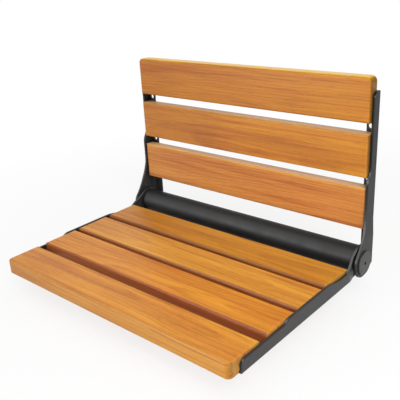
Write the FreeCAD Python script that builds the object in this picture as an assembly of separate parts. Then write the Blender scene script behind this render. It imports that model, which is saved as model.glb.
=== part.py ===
import FreeCAD, Part
import math
import os

os.makedirs("parts", exist_ok=True)

# Frame: origin at the centre of the four wall bolt holes, on the wall plane
# +X is the sitter's left to right as seen from the front, -Y points out of the wall, +Z is up

# Slats
slat_length = 490.0
slat_end_gap = 0.5
slat_thickness = 21.0
slat_edge_radius = 3.5
slat_back_chamfer = 1.5
back_slat_height = 70.0
back_slat_gap = 17.0
top_slat_corner_radius = 9.0
seat_slat_depth = 67.5
seat_slat_gap = 9.0
front_slat_gap = 16.5
front_slat_depth = 64.5
front_lip_drop = 4.5
front_lip_depth = 19.5
front_corner_radius = 9.0
seat_rear_edge = 76.0
seat_top_z = -169.5

# Brackets
plate = 4.0
flange_width = 18.5
flange_corner_radius = 5.0
bend_radius = 2.5
edge_chamfer = 0.8

# Back bracket outline, depths measured out from the wall
back_bracket_top = 99.0
upper_web_depth = 18.0
lower_web_depth = 26.5
back_nose_radius = 8.0
back_step_top = -20.0
back_step_bottom = -48.0
back_sweep_start = -75.0
back_web_heel_z = -178.0
back_foot_z = -188.0
offset = 4.5
offset_start_z = -92.0
offset_run = 40.0

# Seat bracket outline, heights from the seat top
front_web_drop = 5.0
middle_web_drop = -0.3
rear_web_drop = 6.2
seat_step_front = 262.0
seat_step_rear = 244.0
seat_dip_front = 150.0
seat_dip_rear = 98.0
seat_nose_radius = 8.0
ramp_angle = 33.0
ramp_round = 12.0
lug_radius = 25.0
lug_y = -31.0
lug_z = -171.2
lug_shift = 4.2
lug_shift_run = 19.0
lug_shift_start = 75.5
lug_low_y = -55.0
heel_top_z = -176.0
heel_bottom_z = -188.0
flange_end_gap = 1.0

# Pivot
pivot_y = -38.0
pivot_z = -172.6
back_boss_radius = 25.0
pin_radius = 6.0
running_gap = 0.05
press_gap = 0.05
bushing_wall = 2.0
bushing_flange_radius = 14.0
washer_radius = 12.0
washer_thickness = 0.8
disc_radius = 20.4
disc_thickness = 2.2
disc_edge_chamfer = 0.7
hex_key = 4.5
hex_depth = 2.0

# Cross tube
tube_radius = 22.5
tube_wall = 2.0
tube_y = -29.5
tube_z = -173.2

# Slat screws
screw_radius = 2.0
screw_head_radius = 4.0
screw_length = 15.0
screw_fit = 0.05
screw_inset = 7.0
screw_margin = 15.0
screw_sides = 6

# Wall bolt holes
wall_hole_radius = 4.5
wall_hole_inset = 6.5

# Sizes that follow from the ones above
half_slat = slat_length / 2
web_in = half_slat + slat_end_gap
web_out = web_in + plate
flange_in = web_out - flange_width
boss_in = web_in + offset
lug_in = web_in - lug_shift
lug_out = lug_in + plate
boss_out = boss_in + plate
hole_pitch_z = back_slat_height + back_slat_gap
back_base_z = -hole_pitch_z / 2 - back_slat_gap / 2 - back_slat_height
seat_under_z = seat_top_z - slat_thickness
flange_base_z = seat_under_z - plate
front_slat_rear = seat_rear_edge + 3 * seat_slat_depth + 2 * seat_slat_gap + front_slat_gap
seat_front = front_slat_rear + front_slat_depth
lip_rear = seat_front - front_lip_depth
seat_bracket_front = lip_rear - 1.0
far = 400.0
V = FreeCAD.Vector


def save(shape, name):
    shape.exportStep("parts/" + name + ".step")


def mirrored(shape):
    return shape.mirror(V(0, 0, 0), V(1, 0, 0))


def save_pair(shape, name):
    save(shape, name + "_right")
    save(mirrored(shape), name + "_left")


def box(x0, x1, y0, y1, z0, z1):
    return Part.makeBox(x1 - x0, y1 - y0, z1 - z0, V(x0, y0, z0))


def rod(radius, x0, x1, y, z):
    return Part.makeCylinder(radius, x1 - x0, V(x0, y, z), V(1, 0, 0))


def prism(points, direction):
    face = Part.Face(Part.makePolygon(points + points[:1]))
    return face.extrude(direction)


def line(a, b):
    return Part.makeLine(V(0, a[0], a[1]), V(0, b[0], b[1]))


def on_circle(centre, radius, degrees):
    a = math.radians(degrees)
    return (centre[0] + radius * math.cos(a), centre[1] + radius * math.sin(a))


def arc(centre, radius, start, end):
    points = [on_circle(centre, radius, d) for d in (start, (start + end) / 2, end)]
    return Part.Arc(*[V(0, p[0], p[1]) for p in points]).toShape()


def angle(centre, point):
    return math.degrees(math.atan2(point[1] - centre[1], point[0] - centre[0]))


def plate_from(edges, x0, x1):
    wire = Part.Wire(Part.__sortEdges__(edges))
    face = Part.Face(wire)
    face.translate(V(x0, 0, 0))
    return face.extrude(V(x1 - x0, 0, 0))


def rounded(shape, radius, wanted):
    return shape.makeFillet(radius, [e for e in shape.Edges if wanted(e)])


def bevelled(shape, size, wanted):
    return shape.makeChamfer(size, [e for e in shape.Edges if wanted(e)])


def lies_on(edge, axis, value):
    box_of = edge.BoundBox
    low = (box_of.XMin, box_of.YMin, box_of.ZMin)[axis]
    high = (box_of.XMax, box_of.YMax, box_of.ZMax)[axis]
    return abs(low - value) < 0.001 and abs(high - value) < 0.001


def runs_along(edge, axis):
    box_of = edge.BoundBox
    spans = (box_of.XLength, box_of.YLength, box_of.ZLength)
    return all(span < 0.001 for i, span in enumerate(spans) if i != axis)


# Outlines in the side plane


def step_arcs(start, end, vertical):
    # Two equal arcs that leave start and reach end along the same direction
    dy = end[0] - start[0]
    dz = end[1] - start[1]
    width, run = (dy, dz) if vertical else (dz, dy)
    radius = (width * width + run * run) / (4 * abs(width))
    side = 1 if width > 0 else -1
    shift = (side * radius, 0) if vertical else (0, side * radius)
    first = (start[0] + shift[0], start[1] + shift[1])
    second = (end[0] - shift[0], end[1] - shift[1])
    middle = ((start[0] + end[0]) / 2, (start[1] + end[1]) / 2)
    return [arc_between(first, radius, start, middle), arc_between(second, radius, middle, end)]


def arc_between(centre, radius, start, end):
    a = angle(centre, start)
    b = angle(centre, end)
    while b - a > 180:
        b -= 360
    while a - b > 180:
        b += 360
    return arc(centre, radius, a, b)


def back_outline():
    pivot = (pivot_y, pivot_z)
    across = -lower_web_depth - pivot_y
    drop = back_sweep_start - pivot_z
    gain = across * across + drop * drop - back_boss_radius * back_boss_radius
    sweep = gain / (2 * (back_boss_radius + across))
    sweep_centre = (-lower_web_depth - sweep, back_sweep_start)
    boss_start = angle(pivot, sweep_centre)
    heel = (0.0, back_web_heel_z)
    reach = math.hypot(heel[0] - pivot_y, heel[1] - pivot_z)
    boss_end = angle(pivot, heel) - math.degrees(math.acos(back_boss_radius / reach))
    touch = on_circle(pivot, back_boss_radius, boss_start)
    leave = on_circle(pivot, back_boss_radius, boss_end)
    nose_low = back_bracket_top - back_nose_radius
    nose = (back_nose_radius - upper_web_depth, nose_low)
    edges = [
        line(heel, (0.0, back_bracket_top)),
        line((0.0, back_bracket_top), (nose[0], back_bracket_top)),
        arc(nose, back_nose_radius, 90, 180),
        line((-upper_web_depth, nose_low), (-upper_web_depth, back_step_top)),
    ]
    edges += step_arcs((-upper_web_depth, back_step_top), (-lower_web_depth, back_step_bottom), True)
    edges += [
        line((-lower_web_depth, back_step_bottom), (-lower_web_depth, back_sweep_start)),
        arc_between(sweep_centre, sweep, (-lower_web_depth, back_sweep_start), touch),
        arc(pivot, back_boss_radius, boss_start, boss_end + 360),
        line(leave, heel),
    ]
    return edges


def seat_outline():
    lug = (lug_y, lug_z)
    slope = math.radians(ramp_angle)
    front = seat_top_z - front_web_drop
    middle = seat_top_z - middle_web_drop
    rear = seat_top_z - rear_web_drop
    crest = on_circle(lug, lug_radius, 90 + ramp_angle)
    foot = crest[0] - (crest[1] - rear) / math.tan(slope)
    reach = ramp_round * math.tan(slope / 2)
    ramp_start = (foot - reach, rear)
    ramp_end = (foot + reach * math.cos(slope), rear + reach * math.sin(slope))
    hollow = (foot - reach, rear + ramp_round)
    heel = (-plate, heel_top_z)
    away = math.hypot(heel[0] - lug_y, heel[1] - lug_z)
    end = angle(lug, heel) + math.degrees(math.acos(lug_radius / away))
    leave = on_circle(lug, lug_radius, end)
    nose = (seat_nose_radius - seat_bracket_front, front - seat_nose_radius)
    corners = [leave, heel, (-plate, heel_bottom_z), (lug_low_y, flange_base_z),
               (-seat_bracket_front, flange_base_z), (-seat_bracket_front, nose[1])]
    edges = [line(p, q) for p, q in zip(corners, corners[1:])]
    edges += [arc(nose, seat_nose_radius, 180, 90), line((nose[0], front), (-seat_step_front, front))]
    edges += step_arcs((-seat_step_front, front), (-seat_step_rear, middle), False)
    edges += [line((-seat_step_rear, middle), (-seat_dip_front, middle))]
    edges += step_arcs((-seat_dip_front, middle), (-seat_dip_rear, rear), False)
    edges += [
        line((-seat_dip_rear, rear), ramp_start),
        arc_between(hollow, ramp_round, ramp_start, ramp_end),
        line(ramp_end, crest),
        arc(lug, lug_radius, 90 + ramp_angle, end),
    ]
    return edges


# Screw positions


def back_slat_base(index):
    return back_base_z + index * hole_pitch_z


def back_screw_heights(index):
    base = back_slat_base(index)
    top = min(base + back_slat_height, back_bracket_top)
    return [base + screw_margin, top - screw_margin]


def seat_slat_edges(index):
    if index == 3:
        return front_slat_rear, lip_rear
    rear = seat_rear_edge + index * (seat_slat_depth + seat_slat_gap)
    return rear, rear + seat_slat_depth


def seat_screw_depths(index):
    rear, front = seat_slat_edges(index)
    margin = screw_margin if index < 3 else screw_margin - plate
    return [rear + margin, front - margin]


def screw_x():
    return half_slat - screw_inset


def back_screw_places():
    sides = (-screw_x(), screw_x())
    return [V(x, 0, z) for i in range(3) for z in back_screw_heights(i) for x in sides]


def seat_screw_places():
    sides = (-screw_x(), screw_x())
    return [V(x, -y, flange_base_z) for i in range(4) for y in seat_screw_depths(i) for x in sides]


# Fasteners


def screw_ring(radius, centre, way):
    # Corners of a few-sided outline square to the screw's axis
    across = V(1, 0, 0)
    up = way.cross(across)
    turns = [math.radians((i + 0.5) * 360 / screw_sides) for i in range(screw_sides + 1)]
    return [centre + (across * math.cos(a) + up * math.sin(a)) * radius for a in turns]


def screw_body(place, way, fit, length):
    # Countersunk head and shank with few flat sides, which keeps the hidden screws light
    head = screw_head_radius + fit
    shank = screw_radius + fit
    stations = ((head, 0), (shank, head - shank), (shank, length))
    rings = [screw_ring(radius, place + way * depth, way) for radius, depth in stations]
    loops = [rings[0], rings[-1]]
    for low, high in zip(rings, rings[1:]):
        loops += [[low[i], low[i + 1], high[i + 1], high[i], low[i]] for i in range(screw_sides)]
    shell = Part.makeShell([Part.Face(Part.makePolygon(loop)) for loop in loops])
    shell.sewShape()
    return Part.makeSolid(shell)


def slat_screw(place, way):
    return screw_body(place, way, 0, screw_length)


def screw_hole(place, way):
    return screw_body(place, way, screw_fit, screw_length + screw_fit)


def hex_socket(x, y, z, across, depth):
    radius = across / math.sqrt(3)
    points = [V(x + 0.1, y + radius * math.cos(math.radians(60 * i)),
                z + radius * math.sin(math.radians(60 * i))) for i in range(6)]
    return prism(points, V(-depth - 0.1, 0, 0))


# Brackets


def outward_wedges():
    # Everything outside the sloped walls that carry the boss outwards
    top = offset + 2.0
    lead = top * offset_run / offset
    beside_wall = prism([V(web_out, -plate, -far), V(web_out + top, -plate - top, -far),
                         V(web_out + top, 1, -far), V(web_out, 1, -far)], V(0, 0, 2 * far))
    above = prism([V(web_out, -far, offset_start_z), V(web_out + top, -far, offset_start_z - lead),
                   V(web_out + top, -far, far), V(web_out, -far, far)], V(0, 2 * far, 0))
    return [beside_wall, above]


def inward_pocket():
    # The hollow behind the boss, one plate thickness inside the sloped walls
    corner = plate * math.sqrt(2)
    wall_start = -corner
    slope = offset / offset_run
    bend = plate * (math.sqrt(1 + slope * slope) - 1) / slope
    over = 1.0
    beside = prism([V(web_in - over, wall_start + over, -far), V(boss_in, wall_start - offset, -far),
                    V(boss_in, -far, -far), V(web_in - over, -far, -far)], V(0, 0, 2 * far))
    start = offset_start_z - bend
    below = prism([V(web_in - over, -far, start + over / slope), V(boss_in, -far, start - offset_run),
                   V(boss_in, -far, -far), V(web_in - over, -far, -far)], V(0, 2 * far, 0))
    return beside.common(below)


def back_bracket():
    web = plate_from(back_outline(), web_in, boss_out)
    web = bevelled(web, edge_chamfer, lambda e: lies_on(e, 0, boss_out) and e.BoundBox.YMax < -plate)
    web = web.cut(outward_wedges())
    web = web.cut(inward_pocket())
    flange = box(flange_in, web_out, -plate, 0, back_foot_z, back_bracket_top)
    flange = rounded(flange, flange_corner_radius, lambda e: lies_on(e, 0, flange_in) and runs_along(e, 1))
    bracket = web.fuse(flange).removeSplitter()
    bracket = rounded(bracket, bend_radius, lambda e: lies_on(e, 0, web_out) and lies_on(e, 1, 0))
    bracket = bracket.cut(rod(pin_radius + bushing_wall, boss_in - 1, boss_out + 1, pivot_y, pivot_z))
    hole_x = flange_in + wall_hole_inset
    for z in (-hole_pitch_z / 2, hole_pitch_z / 2):
        hole = Part.makeCylinder(wall_hole_radius, plate + 2, V(hole_x, 1, z), V(0, -1, 0))
        bracket = bracket.cut(hole)
    holes = [screw_hole(p, V(0, -1, 0)) for p in back_screw_places() if p.x > 0]
    return bracket.cut(holes)


def seat_band():
    # Strip seen from above: straight web, slope, then the lug set inwards by one shift
    lean = plate * math.tan(math.atan(lug_shift / lug_shift_run) / 2)
    start = -lug_shift_start
    end = start + lug_shift_run
    points = [V(web_in, -far, -far), V(web_in, start, -far), V(lug_in, end, -far), V(lug_in, 0, -far),
              V(lug_out, 0, -far), V(lug_out, end + lean, -far), V(web_out, start + lean, -far),
              V(web_out, -far, -far)]
    return prism(points, V(0, 0, 2 * far))


def seat_bracket():
    web = plate_from(seat_outline(), lug_in, web_out)
    web = bevelled(web, edge_chamfer, lambda e: lies_on(e, 0, web_out) and e.BoundBox.ZMin > seat_under_z)
    web = rounded(web, bend_radius, lambda e: lies_on(e, 0, web_out) and lies_on(e, 2, flange_base_z))
    web = web.common(seat_band())
    flange_end = flange_end_gap - seat_rear_edge
    flange = box(flange_in, web_in + 1, -seat_bracket_front, flange_end, flange_base_z, seat_under_z)
    flange = rounded(flange, flange_corner_radius, lambda e: lies_on(e, 0, flange_in) and runs_along(e, 2))
    bracket = web.fuse(flange).removeSplitter()
    bracket = bracket.cut(rod(pin_radius + press_gap, lug_in - 1, lug_out + 1, pivot_y, pivot_z))
    holes = [screw_hole(p, V(0, 0, 1)) for p in seat_screw_places() if p.x > 0]
    return bracket.cut(holes)


# Slats


def back_slat(index):
    base = back_slat_base(index)
    front = -plate - slat_thickness
    slat = box(-half_slat, half_slat, front, -plate, base, base + back_slat_height)
    if index == 2:
        top = base + back_slat_height
        slat = rounded(slat, top_slat_corner_radius, lambda e: runs_along(e, 1) and lies_on(e, 2, top))
    slat = rounded(slat, slat_edge_radius, lambda e: lies_on(e, 1, front))
    slat = bevelled(slat, slat_back_chamfer, lambda e: lies_on(e, 1, -plate))
    holes = [screw_hole(p, V(0, -1, 0)) for p in back_screw_places() if base < p.z < base + hole_pitch_z]
    return slat.cut(holes)


def seat_slat(index):
    rear, front = seat_slat_edges(index)
    slat = box(-half_slat, half_slat, -front, -rear, seat_under_z, seat_top_z)
    slat = rounded(slat, slat_edge_radius, lambda e: lies_on(e, 2, seat_top_z))
    slat = bevelled(slat, slat_back_chamfer, lambda e: lies_on(e, 2, seat_under_z))
    return slat.cut(seat_slat_holes(rear, front))


def seat_slat_holes(rear, front):
    return [screw_hole(p, V(0, 0, 1)) for p in seat_screw_places() if rear < -p.y < front]


def front_slat():
    base = seat_under_z - front_lip_drop
    slat = box(-half_slat, half_slat, -seat_front, -front_slat_rear, base, seat_top_z)
    slat = rounded(slat, front_corner_radius, lambda e: runs_along(e, 2) and lies_on(e, 1, -seat_front))
    slat = slat.cut(box(-far, far, -lip_rear, 0, base - 1, seat_under_z))
    slat = rounded(slat, slat_edge_radius, lambda e: lies_on(e, 2, seat_top_z))
    slat = bevelled(slat, slat_back_chamfer, lambda e: lies_on(e, 2, base) and not lies_on(e, 1, -lip_rear))
    return slat.cut(seat_slat_holes(front_slat_rear, lip_rear))


# Pivot pieces


def pivot_bushing():
    flange = rod(bushing_flange_radius, lug_out, boss_in, pivot_y, pivot_z)
    sleeve_radius = pin_radius + bushing_wall - press_gap
    sleeve = rod(sleeve_radius, lug_out, boss_out, pivot_y, pivot_z)
    bore = rod(pin_radius + running_gap, lug_out - 1, boss_out + 1, pivot_y, pivot_z)
    return flange.fuse(sleeve).removeSplitter().cut(bore)


def friction_washer():
    washer = rod(washer_radius, boss_out, boss_out + washer_thickness, pivot_y, pivot_z)
    return washer.cut(rod(pin_radius + running_gap, boss_out - 1, boss_out + 2, pivot_y, pivot_z))


def pivot_bolt():
    x = boss_out + washer_thickness
    face = x + disc_thickness
    shank = rod(pin_radius, lug_in, x, pivot_y, pivot_z)
    disc = rod(disc_radius, x, face, pivot_y, pivot_z)
    disc = bevelled(disc, disc_edge_chamfer, lambda e: lies_on(e, 0, face))
    bolt = shank.fuse(disc).removeSplitter()
    return bolt.cut(hex_socket(face, pivot_y, pivot_z, hex_key, hex_depth))


def cross_tube():
    tube = rod(tube_radius, -lug_in, lug_in, tube_y, tube_z)
    return tube.cut(rod(tube_radius - tube_wall, -lug_in - 1, lug_in + 1, tube_y, tube_z))


save_pair(back_bracket(), "back_bracket")
save_pair(seat_bracket(), "seat_bracket")
for number, name in enumerate(("bottom", "middle", "top")):
    save(back_slat(number), "back_slat_" + name)
for number, name in enumerate(("rear", "third", "second")):
    save(seat_slat(number), "seat_slat_" + name)
save(front_slat(), "seat_slat_front")
save(Part.makeCompound([slat_screw(p, V(0, -1, 0)) for p in back_screw_places()]), "back_slat_screws")
save(Part.makeCompound([slat_screw(p, V(0, 0, 1)) for p in seat_screw_places()]), "seat_slat_screws")
save_pair(pivot_bushing(), "pivot_bushing")
save_pair(friction_washer(), "friction_washer")
save_pair(pivot_bolt(), "pivot_bolt")
save(cross_tube(), "cross_tube")
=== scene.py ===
import bpy
import bmesh
import math
from mathutils import Matrix, Vector


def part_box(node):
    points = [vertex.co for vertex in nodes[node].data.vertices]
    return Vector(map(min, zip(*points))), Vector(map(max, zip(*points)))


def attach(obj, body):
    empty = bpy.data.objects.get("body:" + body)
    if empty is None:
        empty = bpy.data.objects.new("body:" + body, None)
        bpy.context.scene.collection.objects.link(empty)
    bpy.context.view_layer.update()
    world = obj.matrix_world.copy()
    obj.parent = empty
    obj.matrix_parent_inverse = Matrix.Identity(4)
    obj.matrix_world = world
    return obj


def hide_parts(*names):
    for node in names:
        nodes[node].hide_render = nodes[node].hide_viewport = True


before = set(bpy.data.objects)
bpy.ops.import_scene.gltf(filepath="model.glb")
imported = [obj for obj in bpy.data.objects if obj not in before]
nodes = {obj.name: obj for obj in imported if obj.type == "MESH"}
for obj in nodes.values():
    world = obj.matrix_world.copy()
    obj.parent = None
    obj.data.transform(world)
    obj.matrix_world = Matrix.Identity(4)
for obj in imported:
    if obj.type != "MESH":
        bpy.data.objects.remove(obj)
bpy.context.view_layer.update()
scene = bpy.context.scene


# Helpers for objects, places and colours


def add_object(name, data):
    made = bpy.data.objects.new(name, data)
    scene.collection.objects.link(made)
    return made


def dress(material, *part_names):
    # CAD nodes keep their shape and get this material
    for part_name in part_names:
        materials = nodes[part_name].data.materials
        materials.clear()
        materials.append(material)


def middle(points):
    # The middle of the box round the points
    return Vector([(min(side) + max(side)) / 2 for side in zip(*points)])


def tinted(colour, tone):
    return tuple(part * factor for part, factor in zip(colour, tone))


def grey(level):
    return (level, level, level)


black = grey(0)
white = grey(1)


# Helpers for node trees

bevel_samples = 6
# Most of a noise lies between these, round its middle
noise_low = 0.3
noise_middle = 0.5
noise_high = 0.7


def empty_tree(owner):
    owner.use_nodes = True
    owner.node_tree.nodes.clear()
    return owner.node_tree


def new_material(name):
    material = bpy.data.materials.new(name)
    return material, empty_tree(material)


def put(tree, socket, value):
    # A socket of another node is linked, and anything else is a value to set
    if isinstance(value, bpy.types.NodeSocket):
        tree.links.new(value, socket)
    elif socket.type == "RGBA":
        socket.default_value = (*value, 1)
    else:
        socket.default_value = value


def node(tree, kind, inputs=None, **settings):
    made = tree.nodes.new(kind)
    for key, value in settings.items():
        setattr(made, key, value)
    for key, value in (inputs or {}).items():
        put(tree, made.inputs[key], value)
    return made


def shade(tree, inputs):
    surface = node(tree, "ShaderNodeBsdfPrincipled", inputs)
    node(tree, "ShaderNodeOutputMaterial", {"Surface": surface.outputs["BSDF"]})


def math_node(tree, operation, *values, clamp=False):
    inputs = dict(enumerate(values))
    return node(tree, "ShaderNodeMath", inputs, operation=operation, use_clamp=clamp).outputs[0]


def vector_node(tree, operation, *vectors):
    made = node(tree, "ShaderNodeVectorMath", dict(enumerate(vectors)), operation=operation)
    return made.outputs["Value" if operation in ("LENGTH", "DOT_PRODUCT") else "Vector"]


def mix(tree, factor, first, second, blend="MIX"):
    # The node's colours are its inputs 6 and 7 and its output 2
    inputs = {0: factor, 6: first, 7: second}
    return node(tree, "ShaderNodeMix", inputs, data_type="RGBA", blend_type=blend).outputs[2]


def mix_shaders(tree, factor, first, second):
    return node(tree, "ShaderNodeMixShader", {0: factor, 1: first, 2: second}).outputs[0]


def ramp(tree, value, stops):
    made = node(tree, "ShaderNodeValToRGB", {"Fac": value})
    elements = made.color_ramp.elements
    while len(elements) > 1:
        elements.remove(elements[-1])
    for number, (place, colour) in enumerate(stops):
        stop = elements.new(place) if number else elements[0]
        stop.position = place
        stop.color = (*colour, 1)
    return made.outputs["Color"]


def rise(tree, value, start, full):
    # Nothing up to the start, and one from where it is full
    return ramp(tree, value, [(start, black), (full, white)])


def spread(tree, pattern, low, high):
    # Two colours, spread over the range of a noise
    return ramp(tree, pattern, [(noise_low, low), (noise_high, high)])


def fade(tree, value, start, end, low=0.0, high=1.0, kind="LINEAR"):
    # Low where the value is at its start, high where it is at its end
    inputs = {"Value": value, "From Min": start, "From Max": end, "To Min": low, "To Max": high}
    return node(tree, "ShaderNodeMapRange", inputs, interpolation_type=kind).outputs["Result"]


def coordinate(tree, kind):
    return node(tree, "ShaderNodeTexCoord").outputs[kind]


def part_of(tree, vector, axis):
    return node(tree, "ShaderNodeSeparateXYZ", {0: vector}).outputs[axis]


def facing(tree, axis):
    # How far the surface faces along an axis, either way
    return math_node(tree, "ABSOLUTE", part_of(tree, coordinate(tree, "Normal"), axis))


def mapped(tree, vector, scale=(1, 1, 1), move=(0, 0, 0), turn=(0, 0, 0)):
    inputs = {"Vector": vector, "Scale": scale, "Location": move, "Rotation": turn}
    return node(tree, "ShaderNodeMapping", inputs).outputs["Vector"]


def noise(tree, vector, scale, detail, roughness):
    inputs = {"Vector": vector, "Scale": scale, "Detail": detail, "Roughness": roughness}
    return node(tree, "ShaderNodeTexNoise", inputs).outputs["Fac"]


def stretched_noise(tree, vector, scale, detail, roughness, move=(0, 0, 0)):
    # The mapping scales each axis on its own, so the noise itself stays at scale one
    mapping = mapped(tree, vector, scale=scale, move=move)
    return noise(tree, mapping, scale=1.0, detail=detail, roughness=roughness)


def bump(tree, height, strength, depth, normal=None):
    made = node(tree, "ShaderNodeBump", {"Strength": strength, "Distance": depth, "Height": height})
    if normal is not None:
        put(tree, made.inputs["Normal"], normal)
    return made.outputs["Normal"]


def edge_round(tree, radius):
    return node(tree, "ShaderNodeBevel", {"Radius": radius}, samples=bevel_samples).outputs["Normal"]


def edge_mask(tree, rounded):
    # Nothing on the flats, and more where an edge is rounded
    flat = node(tree, "ShaderNodeNewGeometry").outputs["True Normal"]
    return math_node(tree, "SUBTRACT", 1.0, vector_node(tree, "DOT_PRODUCT", rounded, flat), clamp=True)


# Wood: oiled honey-brown slats, grain along X

# The patterns of the grain. A scale is along the grain and twice across it, in waves to the metre
wander_noise = {"scale": (2.4, 10, 10), "detail": 2.0, "roughness": 0.5}
cloud_noise = {"scale": (4, 9, 9), "detail": 2.0, "roughness": 0.5}
grain_noises = {
    "broad": {"scale": (1.5, 45, 45), "detail": 3.0, "roughness": 0.55},
    "veins": {"scale": (3.5, 110, 110), "detail": 3.0, "roughness": 0.5, "move": (0, 3.1, 1.7)},
    "streaks": {"scale": (6, 300, 300), "detail": 4.0, "roughness": 0.6},
    "fibres": {"scale": (22, 1100, 1100), "detail": 3.0, "roughness": 0.6},
    "pores": {"scale": (60, 1500, 1500), "detail": 1.0, "roughness": 0.5},
}
ring_unevenness = {"Distortion": 1.2, "Detail": 2.0, "Detail Scale": 1.5}
# How far apart the wave node's rings are at scale one
wave_node_spacing = 2 * math.pi / 20
wander_reach = 0.022
seed_shift = (1.37, 0.61, 0.43)

# Each tone multiplies the colour of the wood, at a place on its pattern
body_tones = [(0.28, (0.80, 0.70, 0.72)), (0.50, (0.98, 0.98, 1)), (0.74, (1.10, 1.22, 1.12))]
grain_tones = {
    "rings": [(0.0, (1.03, 1.03, 1.04)), (0.62, white), (0.92, (0.80, 0.71, 0.60)),
              (1.0, (0.97, 0.96, 0.94))],
    "streaks": [(0.34, (0.76, 0.66, 0.54)), (0.50, white), (0.72, (1.05, 1.05, 1.04))],
    "veins": [(0.52, white), (0.66, (0.84, 0.66, 0.66)), (0.72, (0.78, 0.58, 0.60))],
    "pores": [(0.30, (0.58, 0.46, 0.36)), (0.37, white)],
    "clouds": [(0.30, (0.86, 0.78, 0.66)), (0.55, white), (0.75, (1.05, 1.07, 1.06))],
}
# Paler rounded edges of the wood: partly wear, partly a painted highlight
wear_and_highlight_tone = (1.12, 1.25, 1.9)
darker_end = grey(0.85)
end_patches = (0.35, 0.65)

# How far a surface faces an axis where each mask starts and where it is full
end_facing = (0.45, 0.90)
side_facing = (0.20, 0.64)
upper_facing = (0.75, 0.97)
rounding_facing = [(0.08, black), (0.25, white), (0.94, white), (0.995, black)]
# How strongly the painted reflection on the back slats' upper faces shows, through its clouds
least_top_sheen = grey(0.56)
most_top_sheen = grey(0.8)

wood_edge_radius = 0.0012
wood_specular = 0.25
coat_roughness = 0.36
dull_wood = grey(0.50)
polished_wood = grey(0.36)
rubbed_wood = grey(0.85)
fine_share = 0.5
# The strength and the depth of each bump
wood_bumps = {"fibres": (0.22, 0.0002), "pores": (0.20, 0.0002), "streaks": (0.25, 0.0004)}


def wandering(tree, place):
    # The grain line wanders a few millimetres from side to side
    wander = math_node(tree, "SUBTRACT", stretched_noise(tree, place, **wander_noise), noise_middle)
    offset = math_node(tree, "MULTIPLY", wander, wander_reach)
    shift = node(tree, "ShaderNodeCombineXYZ", {"Y": offset, "Z": offset}).outputs[0]
    return vector_node(tree, "ADD", place, shift)


def growth_rings(tree, place, look):
    turned = mapped(tree, place, move=(0, *look["from_pith"]), turn=(0, *look["grain_tilt"]))
    inputs = {"Vector": turned, "Scale": wave_node_spacing / look["ring_spacing"], **ring_unevenness}
    settings = {"wave_type": "RINGS", "rings_direction": "X", "wave_profile": "SAW"}
    return node(tree, "ShaderNodeTexWave", inputs, **settings).outputs["Fac"]


def wood_grain(tree, place, look):
    # The patterns of one slat, moved by its seed so that no two slats are alike
    moved = mapped(tree, place, move=tuple(look["seed"] * part for part in seed_shift))
    grown = wandering(tree, moved)
    grain = {name: stretched_noise(tree, grown, **settings) for name, settings in grain_noises.items()}
    grain["clouds"] = stretched_noise(tree, moved, **cloud_noise)
    grain["rings"] = growth_rings(tree, wandering(tree, place), look)
    return grain


def grained_colour(tree, grain, look):
    colour = ramp(tree, grain["broad"], [(stop, tinted(look["colour"], tone)) for stop, tone in body_tones])
    for name, tones in grain_tones.items():
        colour = mix(tree, look[name], colour, ramp(tree, grain[name], tones), "MULTIPLY")
    return colour


def painted_side_tones(tree, colour, place, heights, tones):
    # The long sides of a seat slat, toned by height: painted shade in the gaps between the slats, darkest at
    # the bottom, and paler sides on the front slat
    height = fade(tree, part_of(tree, place, "Z"), *heights)
    sides = rise(tree, facing(tree, "Y"), *side_facing)
    return mix(tree, sides, colour, ramp(tree, height, tones), "MULTIPLY")


def painted_top_sheen(tree, colour, clouds, top_sheen):
    # The upper face of a back slat, painted pale in uneven clouds: a painted reflection of the bright
    # backdrop
    upper = rise(tree, part_of(tree, coordinate(tree, "Normal"), "Z"), *upper_facing)
    weight = math_node(tree, "MULTIPLY", upper, spread(tree, clouds, least_top_sheen, most_top_sheen))
    return mix(tree, weight, colour, top_sheen)


def darkened_ends(tree, colour, clouds, tone):
    # The end faces of a slat, darker in patches
    low, high = end_patches
    tones = ramp(tree, clouds, [(low, tinted(tone, darker_end)), (high, tone)])
    return mix(tree, rise(tree, facing(tree, "X"), *end_facing), colour, tones, "MULTIPLY")


def wood_gloss(tree, grain):
    broad, fine = (spread(tree, grain[name], dull_wood, polished_wood) for name in ("clouds", "fibres"))
    return mix(tree, fine_share, broad, fine)


def wood_relief(tree, grain, normal):
    for name, (strength, depth) in wood_bumps.items():
        normal = bump(tree, grain[name], strength, depth, normal)
    return normal


def wood_material(name, look, heights):
    material, tree = new_material(name)
    place = coordinate(tree, "Object")
    grain = wood_grain(tree, place, look)
    colour = grained_colour(tree, grain, look)
    # Painted shade on the seat slats' long sides
    if "side_tones" in look:
        colour = painted_side_tones(tree, colour, place, heights, look["side_tones"])
    # The back slats' upper faces get a painted reflection
    if "top_sheen" in look:
        colour = painted_top_sheen(tree, colour, grain["clouds"], look["top_sheen"])
    colour = darkened_ends(tree, colour, grain["clouds"], look["end_tone"])
    rounded = edge_round(tree, wood_edge_radius)
    # Rounded edges paler: partly wear, partly a painted highlight along them
    wear_and_highlight = math_node(tree, "MULTIPLY", edge_mask(tree, rounded), look["edge_wear_and_highlight"])
    colour = mix(tree, wear_and_highlight, colour, tinted(look["colour"], wear_and_highlight_tone))
    # The rounded long edges of a slat, rubbed matt by use
    rounding = ramp(tree, facing(tree, look["rounding_axis"]), rounding_facing)
    shade(tree, {"Base Color": mix(tree, rounding, colour, look["rounding_tone"], "MULTIPLY"),
                 "Roughness": mix(tree, rounding, wood_gloss(tree, grain), rubbed_wood),
                 "Normal": wood_relief(tree, grain, rounded), "Specular IOR Level": wood_specular,
                 "Coat Weight": look["coat"], "Coat Roughness": coat_roughness})
    return material


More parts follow.
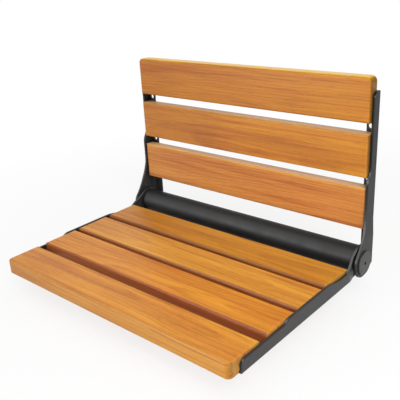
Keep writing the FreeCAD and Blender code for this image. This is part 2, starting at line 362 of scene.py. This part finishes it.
# The looks of the slats. Rings, veins, streaks, pores and clouds are how strongly each pattern shows.
# A slat was cut from_pith metres from the middle of the trunk, and grain_tilt turns its grain, in radians
common_look = dict(streaks=0.75, pores=0.60, clouds=0.80, coat=0.12)
back_look = dict(common_look, edge_wear_and_highlight=0.55, end_tone=(0.44, 0.54, 1.3),
                 rounding_axis="Z", rounding_tone=(1.0, 1.10, 0.5))
seat_look = dict(common_look, edge_wear_and_highlight=0.20, end_tone=(0.70, 0.84, 1.4),
                 rounding_axis="Y", rounding_tone=(0.84, 0.82, 0.76))

# Tones of the long sides of the seat slats, from the bottom of a slat to its top
# Painted shade for the sides that face a gap, and paler tones for the front slat's sides
gap_shade_tones = [(0.0, (0.40, 0.32, 1.0)), (0.85, (0.60, 0.42, 0.8))]
paler_front_tones = [(0.0, (0.92, 1.0, 1.3)), (0.6, (0.97, 1.06, 1.4))]

slat_looks = {
    "back_slat_top": dict(
        back_look, seed=1.3, colour=(0.580, 0.208, 0.008), top_sheen=(0.95, 0.66, 0.21), coat=0.0,
        from_pith=(0.06, 0.10), grain_tilt=(0.03, 0.05), ring_spacing=0.0052, rings=0.60, veins=0.8),
    "back_slat_middle": dict(
        back_look, seed=4.1, colour=(0.630, 0.238, 0.012), top_sheen=(0.70, 0.48, 0.27),
        from_pith=(-0.04, 0.02), grain_tilt=(-0.04, 0.03), ring_spacing=0.0060, rings=0.55, veins=0.8),
    "back_slat_bottom": dict(
        back_look, seed=7.7, colour=(0.725, 0.286, 0.055), top_sheen=(0.84, 0.62, 0.37),
        from_pith=(0.09, 0.16), grain_tilt=(0.02, -0.05), ring_spacing=0.0048, rings=0.60, veins=1.0),
    "seat_slat_rear": dict(
        seat_look, seed=11.2, colour=(0.665, 0.285, 0.014), side_tones=gap_shade_tones,
        from_pith=(0.11, 0.24), grain_tilt=(0.03, 0.04), ring_spacing=0.0056, rings=0.55, veins=0.7),
    "seat_slat_third": dict(
        seat_look, seed=15.9, colour=(0.770, 0.345, 0.040), side_tones=gap_shade_tones,
        from_pith=(0.19, 0.22), grain_tilt=(-0.02, 0.03), ring_spacing=0.0062, rings=0.50, veins=0.7),
    "seat_slat_second": dict(
        seat_look, seed=21.4, colour=(0.795, 0.318, 0.028), side_tones=gap_shade_tones,
        from_pith=(0.28, 0.21), grain_tilt=(0.03, -0.06), ring_spacing=0.0050, rings=0.70, veins=0.8),
    "seat_slat_front": dict(
        seat_look, seed=28.3, colour=(0.730, 0.292, 0.030), side_tones=paler_front_tones,
        from_pith=(0.33, 0.25), grain_tilt=(-0.03, 0.05), ring_spacing=0.0054, rings=0.60, veins=0.9),
}
for slat_name, slat_look in slat_looks.items():
    slat_heights = [corner.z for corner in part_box(slat_name)]
    dress(wood_material("wood_" + slat_name, slat_look, slat_heights), slat_name)


# Black powder coat

peel_noise = {"scale": 1300.0, "detail": 2.0, "roughness": 0.5}
patch_noise = {"scale": 30.0, "detail": 4.0, "roughness": 0.6}
scuff_noise = {"scale": (40, 260, 260), "detail": 4.0, "roughness": 0.7}
peel_bump = (0.16, 0.0002)
dark_patch = 0.82
pale_patch = 1.2
shiny_patch = -0.05
dull_patch = 0.07
metal_edge_radius = 0.0007
edge_scuffs = [(0.35, grey(0.1)), (0.65, grey(0.9))]
# Paler bare edges: partly wear, partly a painted highlight
wear_and_highlight_metal = (0.20, 0.198, 0.194)
rubbed_spots = (0.62, 0.78)
rubbed_depth = 0.25
rubbed_shine = -0.12
# Where the painted light on the lower end of a back bracket starts and where it is full, and its colour
lower_sheen_heights = (0.02, -0.17)
lower_sheen_colour = (0.034, 0.034, 0.033)
# Painted shade in and round the key socket of a pivot bolt
socket_shade_radius = 0.0031
socket_shade_colour = grey(0.001)


def painted_lower_sheen(tree, place):
    # Painted light: the colour of a bracket grows paler towards its lower end, where it looks more brightly
    # lit
    return fade(tree, part_of(tree, place, "Z"), *lower_sheen_heights, kind="SMOOTHSTEP")


def socket_shade_mask(tree, place, axis_point):
    # Painted shade: one inside the key socket and in a thin ring round it, a disc round the axis along X
    # through the point
    offset = vector_node(tree, "SUBTRACT", place, axis_point)
    away = vector_node(tree, "LENGTH", mapped(tree, offset, scale=(0, 1, 1)))
    return math_node(tree, "LESS_THAN", away, socket_shade_radius)


def powder_coat(name, level, rough, specular, axis_point=None, lower_sheen=False):
    material, tree = new_material(name)
    place = coordinate(tree, "Object")
    peel = noise(tree, place, **peel_noise)
    patches = noise(tree, place, **patch_noise)
    scuffs = stretched_noise(tree, place, **scuff_noise)
    rounded = edge_round(tree, metal_edge_radius)
    colour = spread(tree, patches, grey(level * dark_patch), grey(level * pale_patch))
    # Painted light, paler towards the lower end
    if lower_sheen:
        colour = mix(tree, painted_lower_sheen(tree, place), colour, lower_sheen_colour)
    # Paler edges in scuffed spots: partly wear, partly a painted highlight along the edges
    wear_and_highlight = math_node(tree, "MULTIPLY", edge_mask(tree, rounded), ramp(tree, scuffs, edge_scuffs))
    colour = mix(tree, wear_and_highlight, colour, wear_and_highlight_metal)
    rubbed = math_node(tree, "MULTIPLY", rise(tree, scuffs, *rubbed_spots), rubbed_depth)
    shine = spread(tree, patches, grey(rough + shiny_patch), grey(rough + dull_patch))
    shine = mix(tree, rubbed, shine, grey(rough + rubbed_shine))
    if axis_point is not None:
        # Painted shade in the key socket
        shaded_socket = socket_shade_mask(tree, place, axis_point)
        colour = mix(tree, shaded_socket, colour, socket_shade_colour)
        shine = mix(tree, shaded_socket, shine, white)
    shade(tree, {"Base Color": colour, "Roughness": shine, "Specular IOR Level": specular,
                 "Normal": bump(tree, peel, *peel_bump, rounded)})
    return material


hinge_point = middle(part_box("pivot_bolt_right"))
dress(powder_coat("back_bracket_powder_coat", level=0.007, rough=0.40, specular=0.22, lower_sheen=True),
      "back_bracket_left", "back_bracket_right")
dress(powder_coat("bracket_powder_coat", level=0.018, rough=0.36, specular=0.45),
      "seat_bracket_left", "seat_bracket_right")
dress(powder_coat("bolt_powder_coat", level=0.022, rough=0.34, specular=0.5, axis_point=hinge_point),
      "pivot_bolt_left", "pivot_bolt_right")
dress(powder_coat("tube_powder_coat", level=0.009, rough=0.54, specular=0.21), "cross_tube")


# Bare steel and moulded plastic

steel_noise = {"scale": 900.0, "detail": 3.0, "roughness": 0.6}
steel_colours = ((0.36, 0.36, 0.37), (0.55, 0.55, 0.56))
steel_roughness = (grey(0.30), grey(0.45))
steel_bump = (0.1, 0.0001)
steel_edge_radius = 0.0003
plastic_noise = {"scale": 700.0, "detail": 2.0, "roughness": 0.5}
plastic_colours = (grey(0.012), grey(0.020))
plastic_roughness = (grey(0.45), grey(0.6))
plastic_bump = (0.15, 0.0002)


def steel(name):
    material, tree = new_material(name)
    grain = noise(tree, coordinate(tree, "Object"), **steel_noise)
    rounded = edge_round(tree, steel_edge_radius)
    shade(tree, {"Base Color": spread(tree, grain, *steel_colours), "Metallic": 1.0,
                 "Roughness": spread(tree, grain, *steel_roughness),
                 "Normal": bump(tree, grain, *steel_bump, rounded)})
    return material


def moulded(name):
    material, tree = new_material(name)
    grain = noise(tree, coordinate(tree, "Object"), **plastic_noise)
    shade(tree, {"Base Color": spread(tree, grain, *plastic_colours),
                 "Roughness": spread(tree, grain, *plastic_roughness),
                 "Normal": bump(tree, grain, *plastic_bump)})
    return material


screw_steel = steel("screw_steel")
dress(moulded("bearing_plastic"),
      "pivot_bushing_left", "pivot_bushing_right", "friction_washer_left", "friction_washer_right")


# Countersunk screws with a cross recess, one in each screw hole

screw_head_radius = 0.0034
screw_shank_radius = 0.0017
screw_length = 0.0148
screw_rim = 0.0002
screw_sink = 0.00005
screw_sides = 24
recess_reach = 0.0019
recess_half_width = 0.00045
recess_depth = 0.0014
recess_taper = 0.4
face_tolerance = 0.0001
least_spacing = 3 * screw_head_radius


def screw_places(name, inward):
    # The middle of each head in the hidden screws' outer faces
    points = [vertex.co for vertex in nodes[name].data.vertices]
    level = min(point.dot(inward) for point in points)
    heads = []
    for point in points:
        if point.dot(inward) - level > face_tolerance:
            continue
        near = [head for head in heads if (head[0] - point).length < least_spacing]
        if near:
            near[0].append(point)
        else:
            heads.append([point])
    return [middle(head) for head in heads]


def ring(bm, radius, depth, centre, axes):
    across, up, inward = axes
    turns = [2 * math.pi * side / screw_sides for side in range(screw_sides)]
    return [bm.verts.new(centre + radius * (math.cos(turn) * across + math.sin(turn) * up) + depth * inward)
            for turn in turns]


def cross(bm, size, depth, centre, axes):
    # Twelve corners of the recess
    across, up, inward = axes
    reach = recess_reach * size
    half = recess_half_width * size
    corners = []
    for quarter in range(4):
        turn = quarter * math.pi / 2
        for u, v in ((half, -half), (reach, -half), (reach, half)):
            corners.append((u * math.cos(turn) - v * math.sin(turn), u * math.sin(turn) + v * math.cos(turn)))
    return [bm.verts.new(centre + u * across + v * up + depth * inward) for u, v in corners]


def wall(bm, first, second):
    for i in range(len(first)):
        j = (i + 1) % len(first)
        bm.faces.new((first[i], first[j], second[j], second[i]))


def add_screw(bm, centre, inward):
    across = Vector((1, 0, 0))
    axes = (across, inward.cross(across), inward)
    # The radius and the depth of each ring, from the head to the tip
    stations = ((screw_head_radius - screw_rim, screw_sink), (screw_head_radius, screw_sink + screw_rim),
                (screw_shank_radius, screw_head_radius - screw_shank_radius + screw_rim),
                (screw_shank_radius, screw_length - screw_shank_radius), (screw_rim, screw_length))
    rings = [ring(bm, radius, depth, centre, axes) for radius, depth in stations]
    for first, second in zip(rings, rings[1:]):
        wall(bm, first, second)
    bm.faces.new(rings[-1])
    mouth = cross(bm, size=1.0, depth=screw_sink, centre=centre, axes=axes)
    pit = cross(bm, size=recess_taper, depth=recess_depth, centre=centre, axes=axes)
    wall(bm, mouth, pit)
    bm.faces.new(pit)
    edges = [bm.edges.get(pair) for loop in (rings[0], mouth) for pair in zip(loop, loop[1:] + loop[:1])]
    bmesh.ops.triangle_fill(bm, use_beauty=True, edges=edges)


def screws(name, replaced, body, inward):
    bm = bmesh.new()
    for place in screw_places(replaced, inward):
        add_screw(bm, place, inward)
    bmesh.ops.recalc_face_normals(bm, faces=bm.faces)
    mesh = bpy.data.meshes.new(name)
    bm.to_mesh(mesh)
    bm.free()
    mesh.materials.append(screw_steel)
    piece = add_object(name, mesh)
    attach(piece, body)
    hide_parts(replaced)


screws("back_cross_recess_screws", "back_slat_screws", "back", inward=Vector((0, -1, 0)))
screws("seat_cross_recess_screws", "seat_slat_screws", "seat", inward=Vector((0, 0, 1)))


# Floor and backdrop

floor_z = -0.235
floor_size = 14.0
floor_finish = {"Base Color": grey(0.94), "Roughness": 0.9, "Specular IOR Level": 0.1}
shadow_radius = 0.35
white_radius = 1.1
seen_white = 0.80
mirrored_white = 0.0
plain_white = {"Color": white, "Strength": 1.0}
world_light = {"Color": white, "Strength": 0.55}


def plain_rays(tree):
    # What the camera sees, and what metal or glass mirrors
    rays = node(tree, "ShaderNodeLightPath").outputs
    mirrored = math_node(tree, "ADD", rays["Is Glossy Ray"], rays["Is Transmission Ray"], clamp=True)
    return rays["Is Camera Ray"], mirrored


def floor_white(tree, near):
    # The floor keeps a soft shadow near the seat and fades to plain white further out
    away = vector_node(tree, "LENGTH", coordinate(tree, "Object"))
    return fade(tree, away, shadow_radius, white_radius, low=near, kind="SMOOTHSTEP")


def floor_material(name):
    material, tree = new_material(name)
    lit = node(tree, "ShaderNodeBsdfPrincipled", floor_finish).outputs[0]
    plain = node(tree, "ShaderNodeEmission", plain_white).outputs[0]
    seen, mirrored = plain_rays(tree)
    seen = math_node(tree, "MULTIPLY", seen, floor_white(tree, seen_white))
    mirrored = math_node(tree, "MULTIPLY", mirrored, floor_white(tree, mirrored_white))
    above = mix_shaders(tree, math_node(tree, "ADD", seen, mirrored, clamp=True), lit, plain)
    # From below the floor is clear, so that the underside of the seat can be looked at
    below = node(tree, "ShaderNodeNewGeometry").outputs["Backfacing"]
    clear = node(tree, "ShaderNodeBsdfTransparent").outputs[0]
    node(tree, "ShaderNodeOutputMaterial", {"Surface": mix_shaders(tree, below, above, clear)})
    return material


def add_floor(name):
    half = floor_size / 2
    corners = [(x * half, y * half, floor_z) for x, y in ((-1, -1), (1, -1), (1, 1), (-1, 1))]
    mesh = bpy.data.meshes.new(name)
    mesh.from_pydata(corners, [], [(0, 1, 2, 3)])
    mesh.materials.append(floor_material("pale_floor"))
    obj = add_object(name, mesh)


def studio_world(name):
    world = bpy.data.worlds.new(name)
    tree = empty_tree(world)
    light = node(tree, "ShaderNodeBackground", world_light).outputs[0]
    plain = node(tree, "ShaderNodeBackground", plain_white).outputs[0]
    weight = math_node(tree, "ADD", *plain_rays(tree), clamp=True)
    node(tree, "ShaderNodeOutputWorld", {"Surface": mix_shaders(tree, weight, light, plain)})
    return world


add_floor("floor")
scene.world = studio_world("studio")


# Lamps


def area_light(name, place, target, size, power, only_gloss=False):
    data = bpy.data.lights.new(name, "AREA")
    data.shape = "RECTANGLE"
    data.size, data.size_y = size
    data.energy = power
    lamp = add_object(name, data)
    lamp.location = place
    lamp.rotation_euler = (Vector(target) - Vector(place)).to_track_quat("-Z", "Y").to_euler()
    lamp.visible_diffuse = not only_gloss


area_light("key", place=(1.1, -1.0, 1.3), target=(0, -0.15, -0.1), size=(0.75, 0.75), power=14.5)
area_light("fill", place=(1.25, -1.05, 0.45), target=(0, -0.1, -0.1), size=(1.1, 1.1), power=6.2)
area_light("top", place=(0.1, -0.35, 2.0), target=(0, -0.15, -0.15), size=(1.3, 1.0), power=4)
area_light("tube_gleam", place=(-0.75, -0.92, 1.36), target=(0, -0.08, -0.15), size=(0.45, 1.3), power=25,
           only_gloss=True)
area_light("edge_gleam", place=(-0.95, -1.95, 0.50), target=(0, -0.04, -0.14), size=(0.45, 0.45), power=58,
           only_gloss=True)


# Camera, at the photograph's viewing angle, for a square frame. Angles are in degrees

camera_place = (0.6330, -0.8428, 0.2910)
camera_heading = 42.030
camera_tilt = 21.679
camera_roll = -3.330
view_angle = 37.008
sensor_width = 36.0


def rotated(degrees, axis):
    return Matrix.Rotation(math.radians(degrees), 4, axis)


def add_camera(name):
    data = bpy.data.cameras.new(name)
    data.sensor_fit = "HORIZONTAL"
    data.sensor_width = sensor_width
    data.lens = sensor_width / (2 * math.tan(math.radians(view_angle) / 2))
    camera = add_object(name, data)
    turn = rotated(camera_heading, "Z") @ rotated(90 - camera_tilt, "X") @ rotated(camera_roll, "Z")
    camera.matrix_world = Matrix.Translation(camera_place) @ turn
    return camera


scene.camera = add_camera("camera")
scene.view_settings.view_transform = "Standard"
